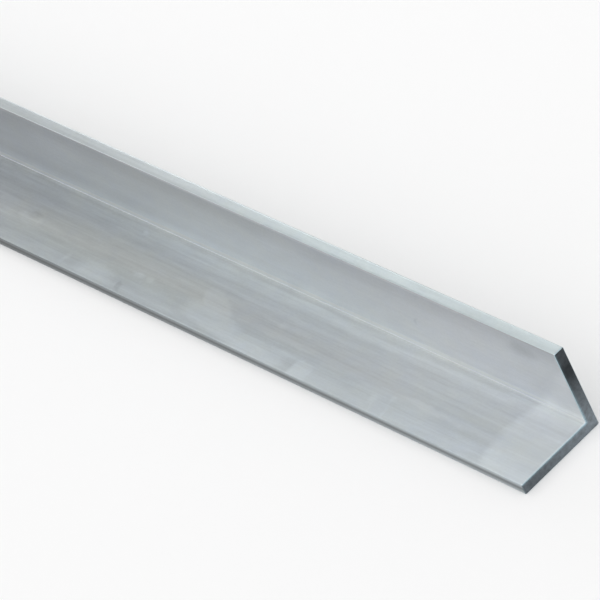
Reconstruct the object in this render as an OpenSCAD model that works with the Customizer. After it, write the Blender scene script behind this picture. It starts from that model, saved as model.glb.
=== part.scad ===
// Equal leg angle section, extruded in one piece and sawn square at both ends.
// The bar lies on one leg with its length along X. The other leg stands up along its back, at +Y.
// The origin is on the floor, halfway along the bar and under the middle of the lying leg.

/* [Section] */
// Width of each leg, measured over the heel
leg_w = 25.4; // [20:0.1:50]
// Thickness of both legs
leg_t = 3.175; // [2.5:0.005:5]
// Radius of the fillet in the root, where the inner faces meet
root_r = 0.3; // [0.2:0.05:1.5]
// Radius on the two long edges of each toe
toe_r = 0.4; // [0.2:0.05:1]
// Radius on the long edge of the heel
heel_r = 0.4; // [0.2:0.05:1]

/* [Length] */
// Length of the bar between its saw cuts
bar_l = 304.8; // [300:0.1:2500]

/* [Hidden] */
// Facets of a full circle in a preview
arc_fn = 64;
// The middle of the lying leg is at y = 0, so the heel is half a leg from it
half_w = leg_w / 2;
half_l = bar_l / 2;
mill_grey = [0.78, 0.80, 0.81];

// What lies between a sharp corner at the origin and a round of radius r that fits in it.
// Both sides of the corner run along the positive axes.
module corner_spandrel(r) {
    difference() {
        square(r);
        translate([r, r]) circle(r, $fn = arc_fn);
    }
}

// Both legs with sharp corners, the heel at the origin: one lies along x, one stands along y
module square_legs() {
    square([leg_w, leg_t]);
    square([leg_t, leg_w]);
}

// Metal that rounds out the inner corner between the legs
module root_fillet() {
    translate([leg_t, leg_t]) corner_spandrel(root_r);
}

// What the round on the heel takes off
module heel_round() {
    corner_spandrel(heel_r);
}

// What the two rounds on one toe take off, for the leg that lies along x
module toe_rounds() {
    translate([leg_w, 0]) mirror([1, 0]) corner_spandrel(toe_r);
    translate([leg_w, leg_t]) rotate(180) corner_spandrel(toe_r);
}

// Cross section of the bar, the same about the diagonal through the heel
module section() {
    difference() {
        union() {
            square_legs();
            root_fillet();
        }
        heel_round();
        toe_rounds();
        mirror([1, -1]) toe_rounds();
    }
}

module angle_section() {
    color(mill_grey)
        translate([half_l, half_w, 0])
            rotate([90, 0, -90])
                linear_extrude(height = bar_l) section();
}

angle_section();
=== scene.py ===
import math

import bpy
import numpy as np
from mathutils import Matrix, Vector


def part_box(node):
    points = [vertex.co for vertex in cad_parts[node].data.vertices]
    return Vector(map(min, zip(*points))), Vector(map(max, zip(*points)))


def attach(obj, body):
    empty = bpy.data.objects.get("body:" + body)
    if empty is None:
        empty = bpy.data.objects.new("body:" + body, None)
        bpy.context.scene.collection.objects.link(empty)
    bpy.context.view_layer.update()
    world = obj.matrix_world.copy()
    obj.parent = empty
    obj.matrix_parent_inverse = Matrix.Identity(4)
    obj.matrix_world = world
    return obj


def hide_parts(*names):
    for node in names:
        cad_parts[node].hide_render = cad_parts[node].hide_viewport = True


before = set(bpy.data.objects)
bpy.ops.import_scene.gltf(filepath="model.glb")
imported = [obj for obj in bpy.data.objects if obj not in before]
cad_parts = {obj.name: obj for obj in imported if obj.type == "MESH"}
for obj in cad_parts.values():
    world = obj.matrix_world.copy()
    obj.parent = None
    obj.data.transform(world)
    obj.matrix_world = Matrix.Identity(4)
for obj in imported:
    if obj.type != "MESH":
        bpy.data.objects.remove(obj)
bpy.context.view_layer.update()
print("frame loaded:", sorted(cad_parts))

mm = 0.001
barLow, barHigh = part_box("angle_section")
barLength = barHigh.x - barLow.x
legWidth = barHigh.z - barLow.z
nearCut = barHigh.x  # the sawn end that faces the camera


# sRGB hex to the linear values that Blender's colour sockets take
def linear(hexColour):
    parts = [int(hexColour[i:i + 2], 16) / 255 for i in (1, 3, 5)]
    return (*(c / 12.92 if c <= 0.04045 else ((c + 0.055) / 1.055) ** 2.4 for c in parts), 1.0)


# Adds one node with its settings, and fills its inputs with values or with links from nodes and sockets
def addNode(tree, kind, inputs=None, **settings):
    node = tree.nodes.new(kind)
    for name, value in settings.items():
        setattr(node, name, value)
    for name, value in (inputs or {}).items():
        if isinstance(value, bpy.types.Node):
            value = next(socket for socket in value.outputs if socket.enabled)
        if isinstance(value, bpy.types.NodeSocket):
            tree.links.new(value, node.inputs[name])
        else:
            node.inputs[name].default_value = value
    return node


mathNode, vectorNode = "ShaderNodeMath", "ShaderNodeVectorMath"

# Camera
cameraPlan = {
    "azimuth": 64.34,  # degrees round from the front, towards the near cut
    "elevation": 37.37,
    "roll": -27.0,
    "distance": 1.4043,
    "aimFromNearCut": 0.1060,  # the point on the floor in the middle of the picture
    "aimBehindMiddle": 0.0093,
    "lens": 343.5,
    "sensor": 36.0,
    "clip": (0.05, 60.0),
}


def addCamera(plan):
    azimuth, elevation = math.radians(plan["azimuth"]), math.radians(plan["elevation"])
    away = Vector((
        math.sin(azimuth) * math.cos(elevation),
        -math.cos(azimuth) * math.cos(elevation),
        math.sin(elevation),
    ))
    aim = Vector((nearCut - plan["aimFromNearCut"], plan["aimBehindMiddle"], 0))
    lens = bpy.data.cameras.new("photoCamera")
    lens.lens, lens.sensor_width = plan["lens"], plan["sensor"]
    lens.clip_start, lens.clip_end = plan["clip"]
    camera = bpy.data.objects.new("photoCamera", lens)
    turn = (-away).to_track_quat("-Z", "Y").to_matrix() @ Matrix.Rotation(math.radians(plan["roll"]), 3, "Z")
    camera.matrix_world = Matrix.LocRotScale(aim + away * plan["distance"], turn.to_quaternion(), None)
    bpy.context.scene.collection.objects.link(camera)
    bpy.context.scene.camera = camera


addCamera(cameraPlan)
print("camera placed")

# Metals. The strip place is where a point lay before the strip was folded:
# X along the bar, Y round the section (the lying leg below zero), Z through the thickness.
thickness = 3.175 * mm
innerShare = 1 - thickness / legWidth  # how much of a leg's width its inner face has
innerWidth = legWidth * innerShare / mm
halfThickness = thickness / 2 / mm
arrisStart, arrisEnd = legWidth / mm - 0.6, legWidth / mm - 0.2  # mm round from the fold
toeStart = 0.9999 * legWidth  # what lies further round from the fold is on a toe
innerStart = 0.49 * thickness  # and what lies further from the middle of the thickness is on an inner face
colourA, colourB, colourOut = 6, 7, 2  # places of a Mix node's colour sockets
white = (1.0, 1.0, 1.0, 1.0)

millPlan = {
    "base": "#dbe0e3",
    "cool": "#f8fafd",  # multiplies the base where the skin looks bluish
    "warm": "#fffffa",  # and where it looks yellowish
    "teal": "#fafdff",  # and beside the toes and the root, where it looks greenish
    "standingNearHue": "#fff8fa",  # and on the standing leg's inner face, near the cut and further on
    "standingFarHue": "#fffbfe",
    "topNearHue": "#fdfffd",  # and on the standing leg's toe
    "topFarHue": "#fffdfb",
    "toeTealShare": 1.2,
    "huePerMm": 0.2,  # of the noise by which the skin drifts from bluish to yellowish
    "hueSwing": 2.0,
    "driftPerMm": 0.3,  # of the wander that the marks' edges have
    "wander": (3.0, 1.2, 0.0),  # mm along and across
    "grainPerMm": 1.2,
    "grainTone": 0.02,
    "textureGain": 5.0,  # noise mostly keeps within 0.3 to 0.7, and this spreads that to -1 to 1
    "standingTextureShare": 0.36,
    "lyingRootRoughness": 0.55,
    "linesPerMm": (0.01, 3.0, 3.0),  # of the finest die lines, a third of a millimetre apart
    "lineHeight": 0.002 * mm,
    # Texture of the skin: noise per mm along and across, detail, roughness, tone
    "layers": {
        "streaks": (0.006, 0.4, 3.0, 0.5, 0.01),
        "fineStreaks": (0.02, 1.1, 3.0, 0.6, 0.047),
        "strokes": (0.12, 0.9, 3.0, 0.5, 0.037),
        "clouds": (0.06, 0.2, 4.0, 0.5, 0.024),
    },
    # Ramps: what each follows (places in mm), where it starts and ends there, and its values at both
    "ramps": {
        "onStanding": ("across", innerWidth - 0.1, innerWidth + 0.1, 0.0, 1.0),
        # Painted light and shade: the standing leg lighter towards the root and darker towards its toe
        "standing": ("across", innerWidth, 2 * innerWidth, 0.09, -0.31),
        "glow": ("across", innerWidth + 6.2, innerWidth - 0.5, 0.0, 0.34),  # painted highlight right above the root
        "glowAlong": ("fromCut", 2.0, 18.0, 0.75, 1.0),
        # Painted light in the middle of the lying leg, and painted shade beside the root and towards the far
        # end
        "middle": ("across", 3.5, 8.5, 0.0, 1.0),
        "middleAlong": ("fromCut", 60.0, 170.0, 0.12, 0.06),
        "rootHalf": ("across", 10.5, 16.5, 0.0, 1.0),
        "rootHalfAlong": ("fromCut", 60.0, 170.0, -0.15, -0.075),
        "far": ("fromCut", 150.0, 205.0, 0.0, -0.06),
        "besideRoot": ("around", -4.5, -1.5, 0.0, 1.0),
        "besideRootAlong": ("fromCut", 20.0, 210.0, 0.0, -0.28),
        "cleanEndAlong": ("fromCut", 9.0, 15.5, 0.155, 0.175),
        "toeLow": ("through", -1.3, 0.0, 0.76, 0.262),  # painted shade: from the lying toe's lower edge to its darkest middle, and darker towards the far end
        "toeHigh": ("through", 0.35, 1.5, 0.262, 0.86),
        "toeAlong": ("fromCut", 20.0, 200.0, 1.0, 0.455),
        "topAlong": ("fromCut", 90.0, 150.0, 0.95, 1.13),  # top: the standing leg's toe, with painted light and shade along and across it
        "topCut": ("fromCut", 0.0, 32.0, 0.06, 0.0),
        "topInner": ("through", -0.5, 1.2, 0.0, 1.0),
        "topInnerAlong": ("fromCut", 90.0, 150.0, 0.01, -0.14),
        "topOuter": ("through", -1.5, -1.0, -0.06, 0.0),
        "topHueAlong": ("fromCut", 90.0, 150.0, 0.0, 1.0),
        "standingHueAlong": ("fromCut", 30.0, 100.0, 0.0, 1.0),
        # painted shade on the faces just before the toes, which damps the arris highlight
        "arrisTone": ("fromFold", arrisStart, arrisEnd, 1.0, 0.94),
        "arrisGloss": ("fromFold", arrisStart, arrisEnd, 0.0, 0.55),  # this and the rest are roughnesses
        "toeSideGloss": ("fromCore", 0.9, 1.3, 0.0, 0.55),
        "foldGloss": ("fromFold", 0.3, 0.9, 0.5, 0.0),
        "skinGloss": ("fineStreaks", 0.3, 0.7, 0.28, 0.32),
    },
    "softRamps": ("glow", "middle"),
    # Marks on the inner faces, in mm and degrees: from the near cut, across from the lying toe,
    # half length, half width, turn, softness, tone
    "cleanEnd": (0, 10.8, 17.2, 13.0, 0, 0.10, 1),
    "nearPale": (20, 7.0, 34, 4.6, 0, 0.7, 0.045),
    "roundMarks": {
        "farCloud": (165.5, 3.0, 6.2, 3.2, 0, 0.5, 0.12),
        "farBar": (177.3, 3.0, 0.9, 1.9, 12, 0.7, 0.08),
        "wedgeTip": (121.8, 8.6, 8.5, 3.2, 27, 0.25, 0.12),
        "paleSmear": (24, 3.4, 4.5, 1.1, 0, 0.8, 0.06),
        "scratchEnd": (52, 6.2, 0.9, 1.0, 0, 0.8, 0.08),
        "rubbedSpot": (57.6, 4.4, 1.1, 1.2, 0, 0.8, 0.09),
        "smudge": (95.5, 12.0, 2.8, 0.8, 0, 0.8, 0.06),
        "secondSmudge": (99.6, 11.9, 1.8, 1.0, 0, 0.8, 0.10),
        "spot": (147.2, 7.5, 1.4, 0.9, 0, 0.7, 0.12),
        "secondSpot": (151.8, 7.5, 1.9, 0.8, 0, 0.7, 0.12),
        "ring": (199.3, 9.2, 4.4, 1.7, 0, 0.4, 0.10),
        "farStreak": (208, 11.6, 6.0, 1.0, 0, 0.8, 0.07),
        "farEdgeStreak": (207.5, 7.5, 3.0, 1.5, 0, 0.8, 0.07),
        "paleRootSpot": (162.5, 19.3, 1.0, 0.6, 0, 0.8, 0.12),
        "standingCloud": (193, 36.5, 10, 3.5, 0, 0.8, 0.06),
        "ringInside": (198.6, 10.4, 2.4, 1.1, 0, 0.5, -0.13),
        "thumbMark": (13.0, 40.8, 4.8, 2.2, 0, 0.9, -0.18),
        "dullTopCorner": (7.0, 43.0, 8.0, 2.6, 0, 0.9, -0.08),
        "dullEnd": (3.0, 33.0, 10.0, 13, 0, 0.9, -0.03),
        "dullCorner": (4.5, 28.5, 10.0, 4.2, -43, 0.8, -0.08),
        "standingPaleBand": (140, 29.0, 92, 3.2, 0, 0.8, 0.035),
        "speck": (55.2, 32.6, 0.5, 1.5, 38, 0.7, -0.09),
        "darkDash": (154.3, 2.3, 0.8, 1.7, -15, 0.5, -0.13),
        "blockFade": (77, 2.4, 5.0, 3.2, 0, 0.9, 0.05),
    },
    "bluntMarks": {
        "wipedBlock": (83.1, 2.0, 3.3, 3.3, 0, 0.2, 0.12),
        "wipedStrip": (101, 2.6, 10.5, 2.7, 0, 0.35, 0.09),
        "wipedWedge": (119.5, 4.6, 10.8, 3.0, 6, 0.25, 0.11),
        "brightStreak": (40.8, 7.9, 8.0, 0.8, 0, 0.5, 0.11),
        "fadingStreak": (25, 8.0, 9.0, 0.8, 0, 0.7, 0.05),
        "scratch": (51.4, 3.2, 0.3, 3.0, -14, 0.7, 0.04),
        "shortScratch": (56.6, 2.2, 0.3, 2.0, -20, 0.7, 0.04),
        "dieLine": (85, 12.2, 48, 0.5, 0, 0.8, 0.045),
        "longDieLine": (130, 14.6, 95, 0.7, 0, 0.7, 0.04),
        "rootSideLine": (160, 19.2, 150, 0.9, 0, 0.6, 0.02),
        "darkGap": (88.2, 1.6, 2.0, 2.0, 0, 0.5, -0.07),
        "darkUnderBlock": (89, 6.6, 7.5, 0.9, 0, 0.7, -0.07),
        "darkUnderStrip": (104.5, 6.3, 7.0, 1.0, 0, 0.7, -0.07),
        "darkSmear": (22.5, 6.1, 5.8, 0.9, 0, 0.7, -0.06),
        "secondDarkSmear": (34, 6.2, 3.6, 0.9, 0, 0.8, -0.04),
        "darkUnderStreak": (24, 10.0, 7.0, 0.8, 0, 0.8, -0.05),
        "darkToeSide": (121, 1.2, 9.0, 1.0, 0, 0.8, -0.05),
        "darkDieLine": (160, 16.9, 92, 1.1, 0, 0.7, -0.05),
        "cutRootSide": (7, 18.8, 9, 2.6, 0, 0.8, -0.07),
        # painted shade on the standing leg just under its toe
        "darkTopBand": (50, 43.6, 80, 3.2, 0, 0.9, -0.06),
        "farPaleBand": (165, 15.0, 45, 3.4, 0, 0.7, 0.045),
        "farDarkBand": (165, 5.8, 45, 2.0, 0, 0.7, -0.05),
        "midDarkBand": (64, 3.8, 14, 2.0, 0, 0.8, -0.045),
        "darkRootBand": (192, 28.0, 30, 1.8, 0, 0.8, -0.05),
    },
    # Painted highlight and shade along the root and the arrises: bright lines and a glint beside the fold and
    # on the standing leg's arris, dark lines in the fold and on the far arrises
    "foldMarks": {
        "rootShine": (150, 23.1, 165, 0.85, 0, 0.7, 0.185),
        "farRootShine": (215, 23.1, 80, 0.8, 0, 0.8, 0.21),
        "foldLine": (150, 22.4, 160, 0.42, 0, 0.7, -0.19),
        "farFoldLine": (215, 22.45, 60, 0.42, 0, 0.7, -0.23),
        "nearFoldLine": (40, 21.8, 50, 0.5, 0, 0.7, -0.06),
        "cutFoldLine": (5, 21.9, 17, 0.5, 0, 0.8, -0.15),
        "foldDash": (72.3, 23.1, 2.4, 0.5, 0, 0.6, 0.20),
        "standingArris": (90, 44.3, 62, 0.5, 0, 0.4, 0.12),
        "farStandingArris": (205, 44.45, 75, 0.4, 0, 0.5, -0.1),
        # painted shade on the lying leg beside the root
        "rootShade": (150, 21.4, 160, 0.8, 0, 0.8, -0.04),
        "farToeEdge": (170, 0.0, 100, 0.3, 0, 0.6, -0.12),
    },
    "tintMarks": {
        "bluePatch": (27, 2.6, 11, 3.0, 0, 0.5, 0.6),
        "blueStreak": (26, 8.0, 10, 1.3, 0, 0.7, 0.8),
        "blueRoot": (26, 27.5, 11, 4.0, 0, 0.8, 0.4),
        "greenRoot": (125, 29, 62, 9, 0, 0.8, -0.5),
        "greenCutSide": (14, 15, 26, 7, 0, 0.8, -0.3),
        "greyRoot": (22, 30, 52, 8, 0, 0.8, -0.15),
        "blueCutSide": (22, 21, 6, 1.5, 0, 0.8, 0.4),
        "yellowPatch": (162, 9.4, 36, 4.4, 0, 0.5, -1),
    },
    "tealMarks": {
        "tealToeSide": (100, 2.0, 105, 5.0, 0, 0.5, 1),
        "tealCutSide": (14, 13, 26, 8, 0, 0.8, 0.7),
        "tealRootSide": (90, 20.6, 80, 2.2, 0, 0.5, 0.3),
        "tealMiddle": (125, 27, 62, 9, 0, 0.8, 0.55),
    },
}


def newMaterial(name):
    material = bpy.data.materials.new(name)
    material.use_nodes = True
    material.node_tree.nodes.clear()
    return material, material.node_tree


def addSockets(tree, inputs, outputs):
    for side, sockets in (("INPUT", inputs), ("OUTPUT", outputs)):
        for name, kind in sockets.items():
            tree.interface.new_socket(name, in_out=side, socket_type="NodeSocket" + kind)


# One soft-edged mark: its tone at full strength inside, and nothing outside.
# A blunt one is fuller in its corners than an ellipse.
def addMark(tree, place, values, isBlunt=False):
    fromCut, across, halfLength, halfWidth, turn, softness, tone = values
    if turn:
        local = addNode(tree, "ShaderNodeMapping", {
            "Vector": place, "Location": (fromCut, across, 0), "Rotation": (0, 0, math.radians(turn)),
            "Scale": (halfLength, halfWidth, 1),
        }, vector_type="TEXTURE")
    else:
        shares = (1 / halfLength, 1 / halfWidth, 1)
        centre = (-fromCut / halfLength, -across / halfWidth, 0)
        local = addNode(tree, vectorNode, {0: place, 1: shares, 2: centre}, operation="MULTIPLY_ADD")
    start, end = 1 - softness, 1 + softness
    if isBlunt:
        local = addNode(tree, vectorNode, {0: local, 1: local}, operation="MULTIPLY")
        start, end = start ** 2, end ** 2
    reach = addNode(tree, vectorNode, {0: local}, operation="LENGTH")
    return addNode(tree, "ShaderNodeMapRange", {
        "Value": reach.outputs["Value"], "From Min": start, "From Max": end, "To Min": tone, "To Max": 0.0,
    }, interpolation_type="SMOOTHSTEP")


# All the marks of a plan: the tone that they add, and their shares of bluish and of greenish.
# Their edges wander a little, but for the marks that follow the fold and the toe.
def addMarks(tree, plan, flat, isLying, cleanAlong):
    drift = addNode(tree, "ShaderNodeTexNoise", {"Vector": flat, "Scale": plan["driftPerMm"], "Detail": 1.5})
    centred = addNode(tree, vectorNode, {0: drift.outputs["Color"], 1: (0.5, 0.5, 0.5)}, operation="SUBTRACT")
    place = addNode(tree, vectorNode, {0: centred, 1: plan["wander"], 2: flat}, operation="MULTIPLY_ADD")
    light, dark, tint, teal = 0.0, 0.0, 0.0, 0.0
    groups = (("roundMarks", place, False), ("bluntMarks", place, True), ("foldMarks", flat, True))
    for group, where, isBlunt in groups:
        for values in plan[group].values():
            mark = addMark(tree, where, values, isBlunt)
            if values[-1] > 0:
                light = addNode(tree, mathNode, {0: light, 1: mark}, operation="MAXIMUM")
            else:
                dark = addNode(tree, mathNode, {0: dark, 1: mark}, operation="MINIMUM")
    for values in plan["tintMarks"].values():
        mark = addMark(tree, place, values, isBlunt=True)
        tint = addNode(tree, mathNode, {0: tint, 1: mark}, operation="ADD")
    for values in plan["tealMarks"].values():
        mark = addMark(tree, place, values, isBlunt=True)
        teal = addNode(tree, mathNode, {0: teal, 1: mark}, operation="MAXIMUM")
    clean = addMark(tree, place, plan["cleanEnd"], isBlunt=True)
    cleanTone = addNode(tree, mathNode, {0: clean, 1: cleanAlong}, operation="MULTIPLY")
    lyingClean = addNode(tree, mathNode, {0: cleanTone, 1: isLying}, operation="MULTIPLY")
    brightest = addNode(tree, mathNode, {0: light, 1: lyingClean}, operation="MAXIMUM")
    pale = addMark(tree, place, plan["nearPale"], isBlunt=True)
    paleTone = addNode(tree, mathNode, {0: brightest, 1: pale}, operation="ADD")
    markTone = addNode(tree, mathNode, {0: paleTone, 1: dark}, operation="ADD")
    return markTone, tint, teal


# Mill finish: a soft satin skin with lengthwise streaks from the die and pale wiped patches, with painted
# light and shade: a darkened lying toe, highlights along the root, and tone that falls across the legs and
# along the bar
def buildMillFinish(plan):
    material, tree = newMaterial("millFinishExtrudedAluminium")
    attribute = addNode(tree, "ShaderNodeAttribute", attribute_name="stripPlace")
    strip = addNode(tree, vectorNode, {0: attribute.outputs["Vector"], "Scale": 1 / mm}, operation="SCALE")
    along, around, through = addNode(tree, "ShaderNodeSeparateXYZ", {0: strip}).outputs
    fromCut = addNode(tree, mathNode, {0: barLength / 2 / mm, 1: along}, operation="SUBTRACT")
    across = addNode(tree, mathNode, {0: around, 1: innerShare, 2: innerWidth}, operation="MULTIPLY_ADD")
    fromFold = addNode(tree, mathNode, {0: around}, operation="ABSOLUTE")
    fromCore = addNode(tree, mathNode, {0: through}, operation="ABSOLUTE")
    isInner = addNode(tree, mathNode, {0: through, 1: innerStart / mm}, operation="GREATER_THAN")
    isLying = addNode(tree, mathNode, {0: around, 1: 0.0}, operation="LESS_THAN")
    isToe = addNode(tree, mathNode, {0: fromFold, 1: toeStart / mm}, operation="GREATER_THAN")
    isLyingToe = addNode(tree, mathNode, {0: isToe, 1: isLying}, operation="MULTIPLY")
    isTop = addNode(tree, mathNode, {0: isToe, 1: isLyingToe}, operation="SUBTRACT")

    # Streaks, strokes and clouds, added up about zero
    sources = {
        "fromCut": fromCut, "across": across, "around": around, "through": through,
        "fromFold": fromFold, "fromCore": fromCore,
    }
    gain = plan["textureGain"]
    texture = -gain / 2 * sum(tone for *_, tone in plan["layers"].values())
    for name, (lengthwise, crosswise, detail, roughness, tone) in plan["layers"].items():
        stretch = (lengthwise, crosswise, crosswise)
        stretched = addNode(tree, vectorNode, {0: strip, 1: stretch}, operation="MULTIPLY")
        sources[name] = addNode(tree, "ShaderNodeTexNoise", {
            "Vector": stretched, "Scale": 1.0, "Detail": detail, "Roughness": roughness,
        })
        texture = addNode(tree, mathNode, {
            0: sources[name], 1: gain * tone, 2: texture,
        }, operation="MULTIPLY_ADD")

    ramps = {}
    for name, (source, start, end, low, high) in plan["ramps"].items():
        ramps[name] = addNode(tree, "ShaderNodeMapRange", {
            "Value": sources[source], "From Min": start, "From Max": end, "To Min": low, "To Max": high,
        }, interpolation_type="SMOOTHSTEP" if name in plan["softRamps"] else "LINEAR")

    flat = addNode(tree, "ShaderNodeCombineXYZ", {0: fromCut, 1: across})
    markTone, tint, teal = addMarks(tree, plan, flat, isLying, ramps["cleanEndAlong"])

    # Painted light and shade: the standing leg brightens towards the root and the lying one dims, and both
    # dim towards the far end
    glowing = addNode(tree, mathNode, {
        0: ramps["glow"], 1: ramps["glowAlong"], 2: ramps["standing"],
    }, operation="MULTIPLY_ADD")
    middleTone = addNode(tree, mathNode, {0: ramps["middle"], 1: ramps["middleAlong"]}, operation="MULTIPLY")
    lying = addNode(tree, mathNode, {
        0: ramps["rootHalf"], 1: ramps["rootHalfAlong"], 2: middleTone,
    }, operation="MULTIPLY_ADD")
    slope = addNode(tree, mathNode, {0: glowing, 1: ramps["onStanding"]}, operation="MULTIPLY")
    bothLegs = addNode(tree, "ShaderNodeMix", {"Factor": ramps["onStanding"], "A": lying, "B": slope})
    farSlope = addNode(tree, mathNode, {
        0: ramps["far"], 1: ramps["rootHalf"], 2: bothLegs,
    }, operation="MULTIPLY_ADD")
    byRoot = addNode(tree, mathNode, {0: ramps["besideRoot"], 1: isLying}, operation="MULTIPLY")
    rootSlope = addNode(tree, mathNode, {
        0: byRoot, 1: ramps["besideRootAlong"], 2: farSlope,
    }, operation="MULTIPLY_ADD")
    innerTone = addNode(tree, mathNode, {0: rootSlope, 1: markTone}, operation="ADD")
    tone = addNode(tree, mathNode, {0: innerTone, 1: isInner}, operation="MULTIPLY")

    # The standing leg's inner face is the smoother one, and the grain is the same all over
    standsInside = addNode(tree, mathNode, {0: ramps["onStanding"], 1: isInner}, operation="MULTIPLY")
    textureShare = addNode(tree, "ShaderNodeMix", {
        "Factor": standsInside, "A": 1.0, "B": plan["standingTextureShare"],
    })
    grain = addNode(tree, "ShaderNodeTexNoise", {"Vector": strip, "Scale": plan["grainPerMm"], "Detail": 2.0})
    grainTone = addNode(tree, mathNode, {
        0: grain, 1: gain * plan["grainTone"], 2: 1 - gain / 2 * plan["grainTone"],
    }, operation="MULTIPLY_ADD")
    level = addNode(tree, mathNode, {0: texture, 1: textureShare, 2: grainTone}, operation="MULTIPLY_ADD")
    allTone = addNode(tree, mathNode, {0: level, 1: tone}, operation="ADD")

    # Painted shade on the lying toe, but for its edges, painted light on the standing one, and painted shade
    # on the arrises
    toeAcross = addNode(tree, mathNode, {0: ramps["toeLow"], 1: ramps["toeHigh"]}, operation="MAXIMUM")
    toe = addNode(tree, mathNode, {0: toeAcross, 1: ramps["toeAlong"]}, operation="MULTIPLY")
    topNear = addNode(tree, mathNode, {0: ramps["topAlong"], 1: ramps["topCut"]}, operation="ADD")
    topSides = addNode(tree, mathNode, {
        0: ramps["topInner"], 1: ramps["topInnerAlong"], 2: ramps["topOuter"],
    }, operation="MULTIPLY_ADD")
    top = addNode(tree, mathNode, {0: topNear, 1: topSides}, operation="ADD")
    topped = addNode(tree, "ShaderNodeMix", {"Factor": isToe, "A": ramps["arrisTone"], "B": top})
    toed = addNode(tree, "ShaderNodeMix", {"Factor": isLyingToe, "A": topped, "B": toe})
    finalTone = addNode(tree, mathNode, {0: allTone, 1: toed}, operation="MULTIPLY")

    # Colour: bluish and yellowish drifts over the grey, and a hue each for the places named in the plan
    hue = addNode(tree, "ShaderNodeTexNoise", {"Vector": strip, "Scale": plan["huePerMm"], "Detail": 2.0})
    innerTint = addNode(tree, mathNode, {0: tint, 1: isInner}, operation="MULTIPLY")
    drifted = addNode(tree, mathNode, {0: hue, 1: plan["hueSwing"], 2: innerTint}, operation="MULTIPLY_ADD")
    coolShare = addNode(tree, "ShaderNodeMapRange", {"Value": drifted, "From Max": plan["hueSwing"]})
    tinted = addNode(tree, "ShaderNodeMix", {
        "Factor": coolShare, colourA: linear(plan["warm"]), colourB: linear(plan["cool"]),
    }, data_type="RGBA").outputs[colourOut]
    coloured = addNode(tree, vectorNode, {0: tinted, 1: linear(plan["base"])[:3]}, operation="MULTIPLY")
    innerTeal = addNode(tree, mathNode, {0: teal, 1: isInner}, operation="MULTIPLY")
    tealShare = addNode(tree, mathNode, {
        0: isToe, 1: plan["toeTealShare"], 2: innerTeal,
    }, operation="MULTIPLY_ADD")
    standingHue = addNode(tree, "ShaderNodeMix", {
        "Factor": ramps["standingHueAlong"], colourA: linear(plan["standingNearHue"]),
        colourB: linear(plan["standingFarHue"]),
    }, data_type="RGBA").outputs[colourOut]
    topHue = addNode(tree, "ShaderNodeMix", {
        "Factor": ramps["topHueAlong"], colourA: linear(plan["topNearHue"]),
        colourB: linear(plan["topFarHue"]),
    }, data_type="RGBA").outputs[colourOut]
    tealHue = linear(plan["teal"])
    for share, placeHue in ((tealShare, tealHue), (standsInside, standingHue), (isTop, topHue)):
        hueHere = addNode(tree, "ShaderNodeMix", {
            "Factor": share, colourA: white, colourB: placeHue,
        }, data_type="RGBA", clamp_factor=False).outputs[colourOut]
        coloured = addNode(tree, vectorNode, {0: coloured, 1: hueHere}, operation="MULTIPLY")
    colour = addNode(tree, vectorNode, {0: coloured, "Scale": finalTone}, operation="SCALE")

    # Streaks change the gloss too, the root and the arrises are duller, and fine die lines stand in the skin
    onArris = addNode(tree, mathNode, {
        0: ramps["arrisGloss"], 1: ramps["toeSideGloss"],
    }, operation="MINIMUM")
    rootDullness = addNode(tree, mathNode, {0: byRoot, 1: plan["lyingRootRoughness"]}, operation="MULTIPLY")
    roughness = ramps["skinGloss"]
    for dullness in (ramps["foldGloss"], rootDullness, onArris):
        roughness = addNode(tree, mathNode, {0: roughness, 1: dullness}, operation="MAXIMUM")
    linePlace = addNode(tree, vectorNode, {0: strip, 1: plan["linesPerMm"]}, operation="MULTIPLY")
    lines = addNode(tree, "ShaderNodeTexNoise", {"Vector": linePlace, "Scale": 1.0, "Detail": 3.0})
    bump = addNode(tree, "ShaderNodeBump", {"Height": lines, "Distance": plan["lineHeight"], "Strength": 1.0})
    shader = addNode(tree, "ShaderNodeBsdfPrincipled", {
        "Base Color": colour, "Metallic": 1.0, "Roughness": roughness, "Normal": bump,
    })
    addNode(tree, "ShaderNodeOutputMaterial", {"Surface": shader})
    return material


sawPlan = {
    # dark grey, which is painted shade
    "base": "#7e868c",
    "rimHighlight": "#8ba1ab",  # painted highlight just inside the inner edges, where the cut is paler
    "grainPerMm": 0.9,
    # Ramps: what each follows (places in mm), where it starts and ends there, and its values at both
    "ramps": {
        # Painted shade: darker up the standing leg, to three quarters of its height, and out towards the
        # lying leg's tip; painted highlight along the rim
        "upwards": ("z", 1.5, 18.0, 0.95, 0.15),
        "tip": ("z", 17.0, 22.0, 0.0, 0.25),  # past the darkest stretch, three quarters of the way up
        "outwards": ("y", 10.0, -9.0, 1.15, 0.68),  # from the heel to the lying leg's tip
        "grainTone": ("grain", 0.3, 0.7, 0.72, 1.28),
        "rimHighlightTone": ("through", halfThickness - 0.65, halfThickness - 0.1, 1.0, 1.2),
        "rimHighlightHue": ("through", halfThickness - 0.65, halfThickness - 0.1, 0.0, 1.0),
        "roughness": ("grain", 0.3, 0.7, 0.42, 0.58),
    },
}
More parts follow.
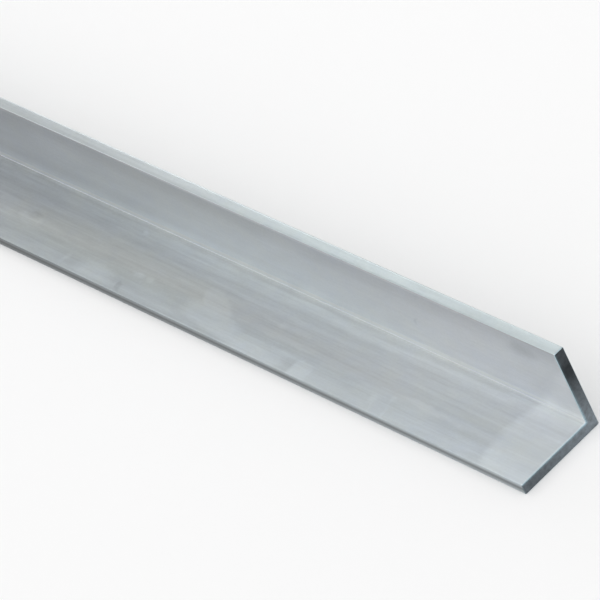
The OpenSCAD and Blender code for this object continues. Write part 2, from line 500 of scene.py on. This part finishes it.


# Saw cut: matt, with faint arcs left by the blade; its dark grey, darker away from the heel, is painted
# shade, and its paler rim is painted highlight
def buildSawCut(plan):
    material, tree = newMaterial("sawCutAluminium")
    spot = addNode(tree, "ShaderNodeTexCoord").outputs["Object"]
    place = addNode(tree, vectorNode, {0: spot, "Scale": 1 / mm}, operation="SCALE")
    _, y, z = addNode(tree, "ShaderNodeSeparateXYZ", {0: place}).outputs
    attribute = addNode(tree, "ShaderNodeAttribute", attribute_name="stripPlace")
    strip = addNode(tree, vectorNode, {0: attribute.outputs["Vector"], "Scale": 1 / mm}, operation="SCALE")
    through = addNode(tree, "ShaderNodeSeparateXYZ", {0: strip}).outputs[2]
    grain = addNode(tree, "ShaderNodeTexNoise", {
        "Vector": place, "Scale": plan["grainPerMm"], "Detail": 4.0, "Roughness": 0.65,
    })
    sources = {"y": y, "z": z, "through": through, "grain": grain}
    ramps = {}
    for name, (source, start, end, low, high) in plan["ramps"].items():
        ramps[name] = addNode(tree, "ShaderNodeMapRange", {
            "Value": sources[source], "From Min": start, "From Max": end, "To Min": low, "To Max": high,
        })
    tone = addNode(tree, mathNode, {0: ramps["upwards"], 1: ramps["tip"]}, operation="MAXIMUM")
    for name in ("outwards", "rimHighlightTone", "grainTone"):
        tone = addNode(tree, mathNode, {0: tone, 1: ramps[name]}, operation="MULTIPLY")
    hue = addNode(tree, "ShaderNodeMix", {
        "Factor": ramps["rimHighlightHue"], colourA: linear(plan["base"]), colourB: linear(plan["rimHighlight"]),
    }, data_type="RGBA").outputs[colourOut]
    colour = addNode(tree, vectorNode, {0: hue, "Scale": tone}, operation="SCALE")
    shader = addNode(tree, "ShaderNodeBsdfPrincipled", {
        "Base Color": colour, "Metallic": 1.0, "Roughness": ramps["roughness"],
    })
    addNode(tree, "ShaderNodeOutputMaterial", {"Surface": shader})
    return material


edgePlan = {
    "base": "#b4c6ce",
    "toeShadeTone": 0.35,  # share of the brightness that is left on the lying toe, as painted shade
    "roughness": 0.35,
}


# Cut edge: the thin bevel round the cut, which the saw left bright and a little blue, and darker on the lying
# toe as painted shade
def buildCutEdge(plan):
    material, tree = newMaterial("burnishedCutEdge")
    attribute = addNode(tree, "ShaderNodeAttribute", attribute_name="stripPlace")
    around = addNode(tree, "ShaderNodeSeparateXYZ", {0: attribute.outputs["Vector"]}).outputs[1]
    isToe = addNode(tree, mathNode, {0: around, 1: -toeStart}, operation="LESS_THAN")
    tone = addNode(tree, "ShaderNodeMix", {"Factor": isToe, "A": 1.0, "B": plan["toeShadeTone"]})
    colour = addNode(tree, vectorNode, {0: linear(plan["base"])[:3], "Scale": tone}, operation="SCALE")
    shader = addNode(tree, "ShaderNodeBsdfPrincipled", {
        "Base Color": colour, "Metallic": 1.0, "Roughness": plan["roughness"],
    })
    addNode(tree, "ShaderNodeOutputMaterial", {"Surface": shader})
    return material


millFinish = buildMillFinish(millPlan)
sawCut = buildSawCut(sawPlan)
cutEdge = buildCutEdge(edgePlan)
print("metals made")

# The bar: a flat strip, twice as wide as a leg, that is folded to an L along its middle
barPlan = {
    "Length": barLength,
    "Leg Width": legWidth,
    "Thickness": thickness,
    "Edge Radius": 0.4 * mm,  # toes and heel
    "Root Radius": 0.3 * mm,
    "Edge Break": 0.16 * mm,  # the small bevel round each saw cut
    "Second Ring": 3.0,  # the ring after the bevel lies this many edge breaks from the cut
    "Rings": 150,
    "Steps Around": 241,
    "Steps Through": 17,
    "Die Line Depth": 0.004 * mm,
    "Die Line Width": 0.9 * mm,
    "Die Line Stretch": 0.004,  # their pattern's scale along the bar, as a share of the one across it
    "Wave Depth": 0.04 * mm,
    "Wave Length": 90 * mm,
    "Saw Mark Depth": 0.010 * mm,
    "Saw Mark Pitch": 1.1 * mm,
    "Saw Mark Swing": 5.0,  # radians by which the arcs stray
    "Tear Scale": 400.0,  # per metre, of the noise that they stray by
    "Blade Height": 96 * mm,  # the saw's marks are arcs about a point this far up
    "Blade Offset": -118 * mm,  # and this far from the middle of the lying leg
    "Seed": 7.0,
}
wholeNumbers = ("Rings", "Steps Around", "Steps Through")
bevelLooks, cutLooks = 0.3, 0.9  # how far along the bar the faces of the bevel and the cut look, at least


# How far a point near a square corner moves in for the corner to be round.
# Distance and Depth are the point's distances from the corner's two sides.
def buildRoundTree():
    tree = bpy.data.node_groups.new("roundCorner", "GeometryNodeTree")
    addSockets(tree, {"Distance": "Float", "Depth": "Float", "Radius": "Float"}, {"Shift": "Vector"})
    given = addNode(tree, "NodeGroupInput").outputs
    place = addNode(tree, "ShaderNodeCombineXYZ", {
        0: given["Distance"], 1: given["Depth"], 2: given["Radius"],
    })
    fromCentre = addNode(tree, vectorNode, {0: given["Radius"], 1: place}, operation="SUBTRACT")
    inCorner = addNode(tree, vectorNode, {0: fromCentre, 1: (0, 0, 0)}, operation="MAXIMUM")
    reach = addNode(tree, vectorNode, {0: inCorner}, operation="LENGTH")
    onArc = addNode(tree, mathNode, {0: given["Radius"], 1: reach.outputs["Value"]}, operation="DIVIDE")
    kept = addNode(tree, mathNode, {0: onArc, 1: 1.0}, operation="MINIMUM")
    lost = addNode(tree, mathNode, {0: 1.0, 1: kept}, operation="SUBTRACT")
    shift = addNode(tree, vectorNode, {0: inCorner, "Scale": lost}, operation="SCALE")
    addNode(tree, "NodeGroupOutput", {"Shift": shift})
    return tree


def buildBarTree():
    tree = bpy.data.node_groups.new("foldedBar", "GeometryNodeTree")
    kinds = {name: "Int" if name in wholeNumbers else "Float" for name in barPlan}
    kinds.update({"Mill Finish": "Material", "Saw Cut": "Material", "Cut Edge": "Material"})
    addSockets(tree, kinds, {"Bar": "Geometry"})
    given = addNode(tree, "NodeGroupInput").outputs
    roundCorner = buildRoundTree()

    # The strip, with its place before the fold kept for the texture map
    spread = addNode(tree, mathNode, {0: given["Leg Width"], 1: 2.0}, operation="MULTIPLY")
    size = addNode(tree, "ShaderNodeCombineXYZ", {0: given["Length"], 1: spread, 2: given["Thickness"]})
    strip = addNode(tree, "GeometryNodeMeshCube", {
        "Size": size, "Vertices X": given["Rings"],
        "Vertices Y": given["Steps Around"], "Vertices Z": given["Steps Through"],
    })
    place = addNode(tree, "GeometryNodeInputPosition")
    noted = addNode(tree, "GeometryNodeStoreNamedAttribute", {
        "Geometry": strip.outputs["Mesh"], "Name": "stripPlace", "Value": place,
    }, data_type="FLOAT_VECTOR", domain="POINT")
    along, around, through = addNode(tree, "ShaderNodeSeparateXYZ", {0: place}).outputs

    # Rings near a cut crowd up to it, and the last one is drawn in by the edge break
    halfLength = addNode(tree, mathNode, {0: given["Length"], 1: 0.5}, operation="MULTIPLY")
    fromMiddle = addNode(tree, mathNode, {0: along}, operation="ABSOLUTE")
    fromCut = addNode(tree, mathNode, {0: halfLength, 1: fromMiddle}, operation="SUBTRACT")
    gaps = addNode(tree, mathNode, {0: given["Rings"], 1: 1.0}, operation="SUBTRACT")
    gap = addNode(tree, mathNode, {0: given["Length"], 1: gaps}, operation="DIVIDE")
    ring = addNode(tree, mathNode, {0: fromCut, 1: gap}, operation="DIVIDE")
    ringNumber = addNode(tree, mathNode, {0: ring}, operation="ROUND")
    isCut = addNode(tree, mathNode, {0: ring, 1: 0.5}, operation="LESS_THAN")
    inset = addNode(tree, mathNode, {0: isCut, 1: given["Edge Break"]}, operation="MULTIPLY")
    secondRing = addNode(tree, mathNode, {
        0: given["Edge Break"], 1: given["Second Ring"],
    }, operation="MULTIPLY")
    ringPlaces = (given["Edge Break"], secondRing.outputs[0], fromCut.outputs[0])  # after the cut's own, at 0
    lastChoice = addNode(tree, mathNode, {0: ringNumber, 1: float(len(ringPlaces))}, operation="MINIMUM")
    choice = addNode(tree, "GeometryNodeIndexSwitch", data_type="FLOAT")
    while len(choice.index_switch_items) <= len(ringPlaces):
        choice.index_switch_items.new()
    tree.links.new(lastChoice.outputs[0], choice.inputs["Index"])
    for socket, ringPlace in enumerate(ringPlaces, 2):
        tree.links.new(ringPlace, choice.inputs[socket])
    newFromMiddle = addNode(tree, mathNode, {0: halfLength, 1: choice}, operation="SUBTRACT")
    end = addNode(tree, mathNode, {0: along}, operation="SIGN")
    x = addNode(tree, mathNode, {0: newFromMiddle, 1: end}, operation="MULTIPLY")

    # Depth under the outer faces, and reach along the leg from the heel
    part = addNode(tree, mathNode, {0: through, 1: given["Thickness"]}, operation="DIVIDE")
    share = addNode(tree, mathNode, {0: part, 1: 0.5}, operation="ADD")
    twoInsets = addNode(tree, mathNode, {0: inset, 1: 2.0}, operation="MULTIPLY")
    room = addNode(tree, mathNode, {0: given["Thickness"], 1: twoInsets}, operation="SUBTRACT")
    depth = addNode(tree, mathNode, {0: share, 1: room, 2: inset}, operation="MULTIPLY_ADD")
    tip = addNode(tree, mathNode, {0: given["Leg Width"], 1: inset}, operation="SUBTRACT")
    free = addNode(tree, mathNode, {0: tip, 1: depth}, operation="SUBTRACT")
    fromFold = addNode(tree, mathNode, {0: around}, operation="ABSOLUTE")
    legShare = addNode(tree, mathNode, {0: fromFold, 1: given["Leg Width"]}, operation="DIVIDE")
    reach = addNode(tree, mathNode, {0: legShare, 1: free, 2: depth}, operation="MULTIPLY_ADD")

    # Round toes and heel
    radius = addNode(tree, mathNode, {0: given["Edge Radius"], 1: inset}, operation="SUBTRACT")
    toTip = addNode(tree, mathNode, {0: tip, 1: reach}, operation="SUBTRACT")
    fromInner = addNode(tree, mathNode, {0: given["Thickness"], 1: depth}, operation="SUBTRACT")
    fromSide = addNode(tree, mathNode, {0: depth, 1: fromInner}, operation="MINIMUM")
    sideIn = addNode(tree, mathNode, {0: fromSide, 1: inset}, operation="SUBTRACT")
    toe = addNode(tree, "GeometryNodeGroup", node_tree=roundCorner)
    heel = addNode(tree, "GeometryNodeGroup", node_tree=roundCorner)
    reachIn = addNode(tree, mathNode, {0: reach, 1: inset}, operation="SUBTRACT")
    depthIn = addNode(tree, mathNode, {0: depth, 1: inset}, operation="SUBTRACT")
    for group, distance, side in ((toe, toTip, sideIn), (heel, reachIn, depthIn)):
        tree.links.new(distance.outputs[0], group.inputs["Distance"])
        tree.links.new(side.outputs[0], group.inputs["Depth"])
        tree.links.new(radius.outputs[0], group.inputs["Radius"])
    toeShift = addNode(tree, "ShaderNodeSeparateXYZ", {0: toe}).outputs
    heelShift = addNode(tree, "ShaderNodeSeparateXYZ", {0: heel}).outputs
    halfThick = addNode(tree, mathNode, {0: fromInner, 1: depth}, operation="SUBTRACT")
    outwards = addNode(tree, mathNode, {0: halfThick}, operation="SIGN")
    toeReach = addNode(tree, mathNode, {0: reach, 1: toeShift[0]}, operation="SUBTRACT")
    bothReach = addNode(tree, mathNode, {0: toeReach, 1: heelShift[0]}, operation="ADD")
    toeDepth = addNode(tree, mathNode, {0: toeShift[1], 1: outwards, 2: depth}, operation="MULTIPLY_ADD")
    bothDepth = addNode(tree, mathNode, {0: toeDepth, 1: heelShift[1]}, operation="ADD")

    # Fillet in the root: points beside the fold swing out to its arc
    innerPart = addNode(tree, mathNode, {0: given["Thickness"], 1: given["Leg Width"]}, operation="DIVIDE")
    innerLegShare = addNode(tree, mathNode, {0: 1.0, 1: innerPart}, operation="SUBTRACT")
    innerFromFold = addNode(tree, mathNode, {0: fromFold, 1: innerLegShare}, operation="MULTIPLY")
    filletShare = addNode(tree, mathNode, {
        0: innerFromFold, 1: given["Root Radius"],
    }, operation="DIVIDE", use_clamp=True)
    left = addNode(tree, mathNode, {0: 1.0, 1: filletShare}, operation="SUBTRACT")
    angle = addNode(tree, mathNode, {0: left, 1: math.pi / 4}, operation="MULTIPLY")
    sine = addNode(tree, mathNode, {0: angle}, operation="SINE")
    cosine = addNode(tree, mathNode, {0: angle}, operation="COSINE")
    slide = addNode(tree, mathNode, {0: left, 1: sine}, operation="SUBTRACT")
    rise = addNode(tree, mathNode, {0: 1.0, 1: cosine}, operation="SUBTRACT")
    inner = addNode(tree, mathNode, {0: share, 1: 3.0}, operation="POWER")  # fades towards the outer faces
    pull = addNode(tree, mathNode, {0: inner, 1: given["Root Radius"]}, operation="MULTIPLY")
    lastReach = addNode(tree, mathNode, {0: slide, 1: pull, 2: bothReach}, operation="MULTIPLY_ADD")
    lastDepth = addNode(tree, mathNode, {0: rise, 1: pull, 2: bothDepth}, operation="MULTIPLY_ADD")

    # Fold: one half lies and the other stands
    stands = addNode(tree, mathNode, {0: around, 1: 0.0}, operation="GREATER_THAN")
    fromHeel = addNode(tree, "ShaderNodeMix", {"Factor": stands, "A": lastReach, "B": lastDepth})
    height = addNode(tree, "ShaderNodeMix", {"Factor": stands, "A": lastDepth, "B": lastReach})
    halfLeg = addNode(tree, mathNode, {0: given["Leg Width"], 1: 0.5}, operation="MULTIPLY")
    y = addNode(tree, mathNode, {0: halfLeg, 1: fromHeel}, operation="SUBTRACT")
    folded = addNode(tree, "ShaderNodeCombineXYZ", {0: x, 1: y, 2: height})
    bent = addNode(tree, "GeometryNodeSetPosition", {"Geometry": noted, "Position": folded})

    # Relief, always inwards: lengthwise die lines and slow waves
    spot = addNode(tree, "GeometryNodeInputPosition")
    lineScale = addNode(tree, mathNode, {0: 1.0, 1: given["Die Line Width"]}, operation="DIVIDE")
    lineAlong = addNode(tree, mathNode, {0: lineScale, 1: given["Die Line Stretch"]}, operation="MULTIPLY")
    lineStretch = addNode(tree, "ShaderNodeCombineXYZ", {0: lineAlong, 1: lineScale, 2: lineScale})
    linePlace = addNode(tree, vectorNode, {0: spot, 1: lineStretch}, operation="MULTIPLY")
    lines = addNode(tree, "ShaderNodeTexNoise", {
        "Vector": linePlace, "W": given["Seed"], "Scale": 1.0, "Detail": 2.0,
    }, noise_dimensions="4D")
    waveScale = addNode(tree, mathNode, {0: 1.0, 1: given["Wave Length"]}, operation="DIVIDE")
    waves = addNode(tree, "ShaderNodeTexNoise", {
        "Vector": spot, "W": given["Seed"], "Scale": waveScale, "Detail": 0.0,
    }, noise_dimensions="4D")
    lineDepth = addNode(tree, mathNode, {0: lines, 1: given["Die Line Depth"]}, operation="MULTIPLY")
    relief = addNode(tree, mathNode, {
        0: waves, 1: given["Wave Depth"], 2: lineDepth,
    }, operation="MULTIPLY_ADD")
    inwards = addNode(tree, mathNode, {0: relief, 1: -1.0}, operation="MULTIPLY")
    skin = addNode(tree, "GeometryNodeInputNormal")
    dent = addNode(tree, vectorNode, {0: skin, "Scale": inwards}, operation="SCALE")
    worked = addNode(tree, "GeometryNodeSetPosition", {"Geometry": bent, "Offset": dent})

    # Saw marks in both cuts, inwards too: uneven arcs round the blade's centre
    spotX = addNode(tree, "ShaderNodeSeparateXYZ", {0: spot}).outputs[0]
    skinX = addNode(tree, "ShaderNodeSeparateXYZ", {0: skin}).outputs[0]
    looksAlong = addNode(tree, mathNode, {0: skinX}, operation="ABSOLUTE")
    isEdge = addNode(tree, mathNode, {0: looksAlong, 1: bevelLooks}, operation="GREATER_THAN")
    isSawn = addNode(tree, mathNode, {0: looksAlong, 1: cutLooks}, operation="GREATER_THAN")
    blade = addNode(tree, "ShaderNodeCombineXYZ", {
        0: spotX, 1: given["Blade Offset"], 2: given["Blade Height"],
    })
    fromBlade = addNode(tree, vectorNode, {0: spot, 1: blade}, operation="DISTANCE").outputs["Value"]
    arcs = addNode(tree, mathNode, {0: fromBlade, 1: given["Saw Mark Pitch"]}, operation="DIVIDE")
    turns = addNode(tree, mathNode, {0: arcs, 1: math.tau}, operation="MULTIPLY")
    tear = addNode(tree, "ShaderNodeTexNoise", {
        "Vector": spot, "W": given["Seed"], "Scale": given["Tear Scale"], "Detail": 2.0,
    }, noise_dimensions="4D")
    uneven = addNode(tree, mathNode, {
        0: tear, 1: given["Saw Mark Swing"], 2: turns,
    }, operation="MULTIPLY_ADD")
    ridge = addNode(tree, mathNode, {0: uneven}, operation="SINE")
    valley = addNode(tree, mathNode, {0: ridge, 1: -0.5, 2: -0.5}, operation="MULTIPLY_ADD")  # from -1 to 0
    torn = addNode(tree, mathNode, {0: valley, 1: tear}, operation="MULTIPLY")
    cutDepth = addNode(tree, mathNode, {0: torn, 1: given["Saw Mark Depth"]}, operation="MULTIPLY")
    cutShift = addNode(tree, mathNode, {0: cutDepth, 1: end}, operation="MULTIPLY")
    cutOffset = addNode(tree, "ShaderNodeCombineXYZ", {0: cutShift})
    sawn = addNode(tree, "GeometryNodeSetPosition", {
        "Geometry": worked, "Selection": isSawn, "Offset": cutOffset,
    })

    # Finish of each face, by how far it looks along the bar
    smooth = addNode(tree, "GeometryNodeSetShadeSmooth", {"Geometry": sawn})
    bar = addNode(tree, "GeometryNodeRealizeInstances", {"Geometry": smooth})
    for name, faces in (("Mill Finish", None), ("Cut Edge", isEdge), ("Saw Cut", isSawn)):
        bar = addNode(tree, "GeometryNodeSetMaterial", {"Geometry": bar, "Material": given[name]})
        if faces:
            tree.links.new(faces.outputs[0], bar.inputs["Selection"])
    addNode(tree, "NodeGroupOutput", {"Bar": bar})
    return tree


def addBar():
    tree = buildBarTree()
    maker = bpy.data.objects.new("barMaker", bpy.data.meshes.new("barMaker"))
    bpy.context.scene.collection.objects.link(maker)
    modifier = maker.modifiers.new("foldedBar", "NODES")
    modifier.node_group = tree
    values = {**barPlan, "Mill Finish": millFinish, "Saw Cut": sawCut, "Cut Edge": cutEdge}
    for item in tree.interface.items_tree:
        if item.in_out == "INPUT":
            modifier[item.identifier] = values[item.name]
    bpy.context.view_layer.update()
    evaluated = maker.evaluated_get(bpy.context.evaluated_depsgraph_get())
    mesh = bpy.data.meshes.new_from_object(evaluated)
    mesh.name = "angleSection"
    bpy.data.objects.remove(maker)
    bar = bpy.data.objects.new("angleSection", mesh)
    bpy.context.scene.collection.objects.link(bar)
    return bar


# Texture map for baking: the inner and outer faces, the toes and the cuts share one square.
# It is finer across the bar than along it, as the skin's streaks are.
mapPlan = {
    "faceHeight": 50.8 * mm,
    "toeHeight": 5 * mm,
    "cutHeight": 9 * mm,
    "gap": 0.7 * mm,
    "margin": 0.008,  # left free at both ends of each row, as a share of the square
    "faceStart": 0.999,  # a face with all its corners this far out, of 1, lies on that side
}


# Each row is for one side: which faces lie on it, and what runs along and up its row of the map
def addTextureMap(mesh, plan):
    places = np.empty(3 * len(mesh.vertices))
    mesh.attributes["stripPlace"].data.foreach_get("vector", places)
    corners = np.empty(len(mesh.loops), dtype=int)
    mesh.loops.foreach_get("vertex_index", corners)
    shares = places.reshape(-1, 3)[corners].reshape(-1, 4, 3) / (barLength / 2, legWidth, thickness / 2)
    lowest, highest = shares.min(axis=1), shares.max(axis=1)
    start = plan["faceStart"]
    along, around, through = np.moveaxis(shares, 2, 0)
    acrossCut = around / 2 * (1 - 2 * plan["margin"]) + np.sign(along) / 2
    rows = (
        (lowest[:, 2] > start, along, around, "faceHeight"),
        (highest[:, 2] < -start, along, around, "faceHeight"),
        (lowest[:, 1] > start, along, through, "toeHeight"),
        (highest[:, 1] < -start, along, through, "toeHeight"),
        (np.abs(along).min(axis=1) > start, acrossCut, through, "cutHeight"),
    )
    total = sum(plan[height] + plan["gap"] for *_, height in rows)
    texturePlaces = np.zeros((len(shares), 4, 2))
    base = plan["gap"] / 2
    for isHere, sideways, upwards, height in rows:
        texturePlaces[isHere, :, 0] = 0.5 + sideways[isHere] * (0.5 - plan["margin"])
        texturePlaces[isHere, :, 1] = (base + (upwards[isHere] + 1) / 2 * plan[height]) / total
        base += plan[height] + plan["gap"]
    layer = mesh.uv_layers.new(name="OFBake")
    layer.data.foreach_set("uv", texturePlaces.ravel())


bar = addBar()
addTextureMap(bar.data, mapPlan)
print("bar made:", len(bar.data.vertices), "points,", len(bar.data.polygons), "faces")

# Floor, lamps and background
stagePlan = {
    "floor": "#f6f6f6",
    "floorReach": 9.0,
    "sweepRadius": 2.5,  # of the curve in which the floor turns up, far behind the bar
    "sweepSteps": 24,
    "floorSides": 96,
    "world": "#ffffff",
    "worldStrength": 0.55,
    "sunStrength": 1.72,
    "sunSpread": 100.0,  # degrees across, so that the shadow is soft
    "sunFrom": (0.6, -0.45, 1.0),  # from the front and the cut's side, so the shadow falls behind
    "softboxes": {
        "frontSoftbox": {"place": (-0.5, -0.27, 0.65), "size": (0.55, 0.25), "power": 0.58},
        "backSoftbox": {"place": (-0.5, 0.45, 0.40), "size": (0.30, 0.25), "power": 0.48},
    },
}


# A flat round floor that sweeps up to a wall all round, so that a low view shows no horizon
def addFloor(plan):
    sides, steps, curve = plan["floorSides"], plan["sweepSteps"], plan["sweepRadius"]
    points = [(0, 0, 0)]
    for step in range(steps + 1):
        slope = math.pi / 2 * step / steps
        reach, height = plan["floorReach"] + curve * math.sin(slope), curve * (1 - math.cos(slope))
        for side in range(sides):
            turn = math.tau * side / sides
            points.append((reach * math.cos(turn), reach * math.sin(turn), height))
    faces = [(0, 1 + side, 1 + (side + 1) % sides) for side in range(sides)]
    for step in range(steps):
        first = 1 + step * sides
        for side in range(sides):
            after = (side + 1) % sides
            faces.append((first + side, first + sides + side, first + sides + after, first + after))
    mesh = bpy.data.meshes.new("floor")
    mesh.from_pydata(points, [], faces)
    mesh.shade_smooth()
    material, tree = newMaterial("paleStudioFloor")  # matt card, on which only the soft shadow shows
    shader = addNode(tree, "ShaderNodeBsdfDiffuse", {"Color": linear(plan["floor"])})
    addNode(tree, "ShaderNodeOutputMaterial", {"Surface": shader})
    mesh.materials.append(material)
    floor = bpy.data.objects.new("floor", mesh)
    bpy.context.scene.collection.objects.link(floor)


def addWorld(plan):
    world = bpy.data.worlds.new("studio")
    bpy.context.scene.world = world
    world.use_nodes = True
    tree = world.node_tree
    tree.nodes.clear()
    glow = addNode(tree, "ShaderNodeBackground", {
        "Color": linear(plan["world"]), "Strength": plan["worldStrength"],
    })
    addNode(tree, "ShaderNodeOutputWorld", {"Surface": glow})


def addLamp(name, kind, place, aim, settings):
    data = bpy.data.lights.new(name, kind)
    for key, value in settings.items():
        setattr(data, key, value)
    lamp = bpy.data.objects.new(name, data)
    lamp.location = place
    lamp.rotation_euler = (Vector(aim) - Vector(place)).to_track_quat("-Z", "Y").to_euler()
    lamp.visible_camera = False
    bpy.context.scene.collection.objects.link(lamp)


def addStage(plan):
    addFloor(plan)
    addWorld(plan)
    addLamp("broadSun", "SUN", plan["sunFrom"], (0, 0, 0), {
        "energy": plan["sunStrength"], "angle": math.radians(plan["sunSpread"]),
    })
    for name, box in plan["softboxes"].items():
        ahead = Vector(box["place"]) + Vector((1, 0, 0))
        addLamp(name, "AREA", box["place"], ahead, {
            "shape": "RECTANGLE", "size": box["size"][0], "size_y": box["size"][1], "energy": box["power"],
        })


addStage(stagePlan)
bpy.context.scene.view_settings.view_transform = "Standard"
print("stage set")

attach(bar, "root")
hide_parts("angle_section")
